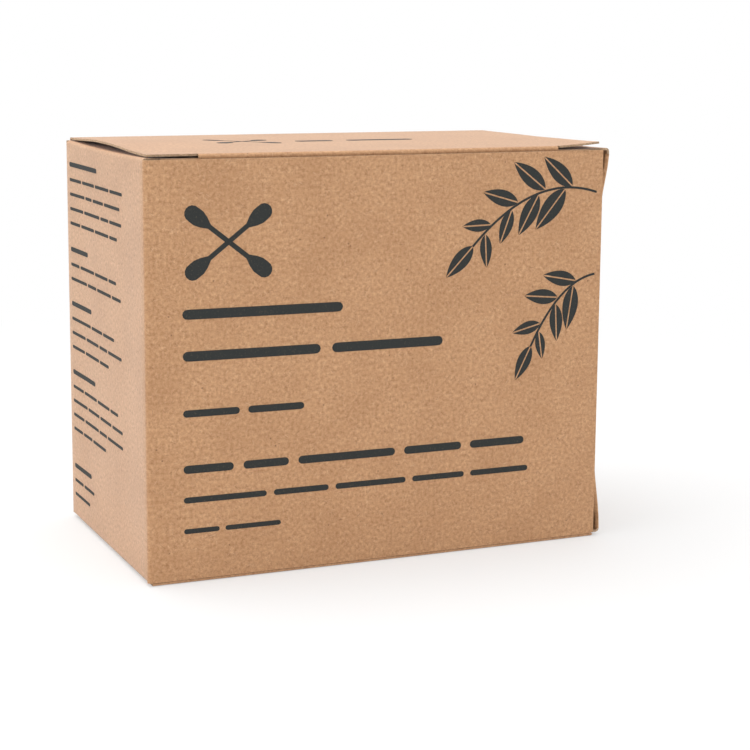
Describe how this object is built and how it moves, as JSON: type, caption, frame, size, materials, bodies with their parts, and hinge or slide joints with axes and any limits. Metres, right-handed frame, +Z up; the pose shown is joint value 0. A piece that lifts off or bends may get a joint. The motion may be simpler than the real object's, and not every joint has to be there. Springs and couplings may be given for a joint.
{
  "type": "cotton swab box",
  "caption": "Small kraft paperboard tuck-end carton filled with upright cotton swabs on bamboo sticks, with hinged top and bottom closures.",
  "frame": {"origin": "bottom centre of the closed carton, on the surface that it stands on", "axes": "+Z up, the printed front wall faces -Y, +X towards the right of someone facing the front"},
  "size_m": [0.094, 0.055, 0.0787],
  "materials": {
    "kraft_board": "matte",
    "bamboo": "satin",
    "cotton": "matte"
  },
  "bodies": {
    "carton": {"carton_body": "kraft_board", "swab_sticks": "bamboo", "upper_cotton_tips": "cotton", "lower_cotton_tips": "cotton"},
    "top_lid": {"top_closure": "kraft_board"},
    "bottom_lid": {"bottom_closure": "kraft_board"}
  },
  "joints": [
    {"name": "top_lid_crease", "type": "hinge", "parent": "carton", "child": "top_lid", "pos_m": [0, 0.0273, 0.0778], "axis": [-1, 0, 0], "range_deg": [0, 180]},
    {"name": "bottom_lid_crease", "type": "hinge", "parent": "carton", "child": "bottom_lid", "pos_m": [0, -0.0273, 0.0002], "axis": [-1, 0, 0], "range_deg": [0, 180]}
  ]
}
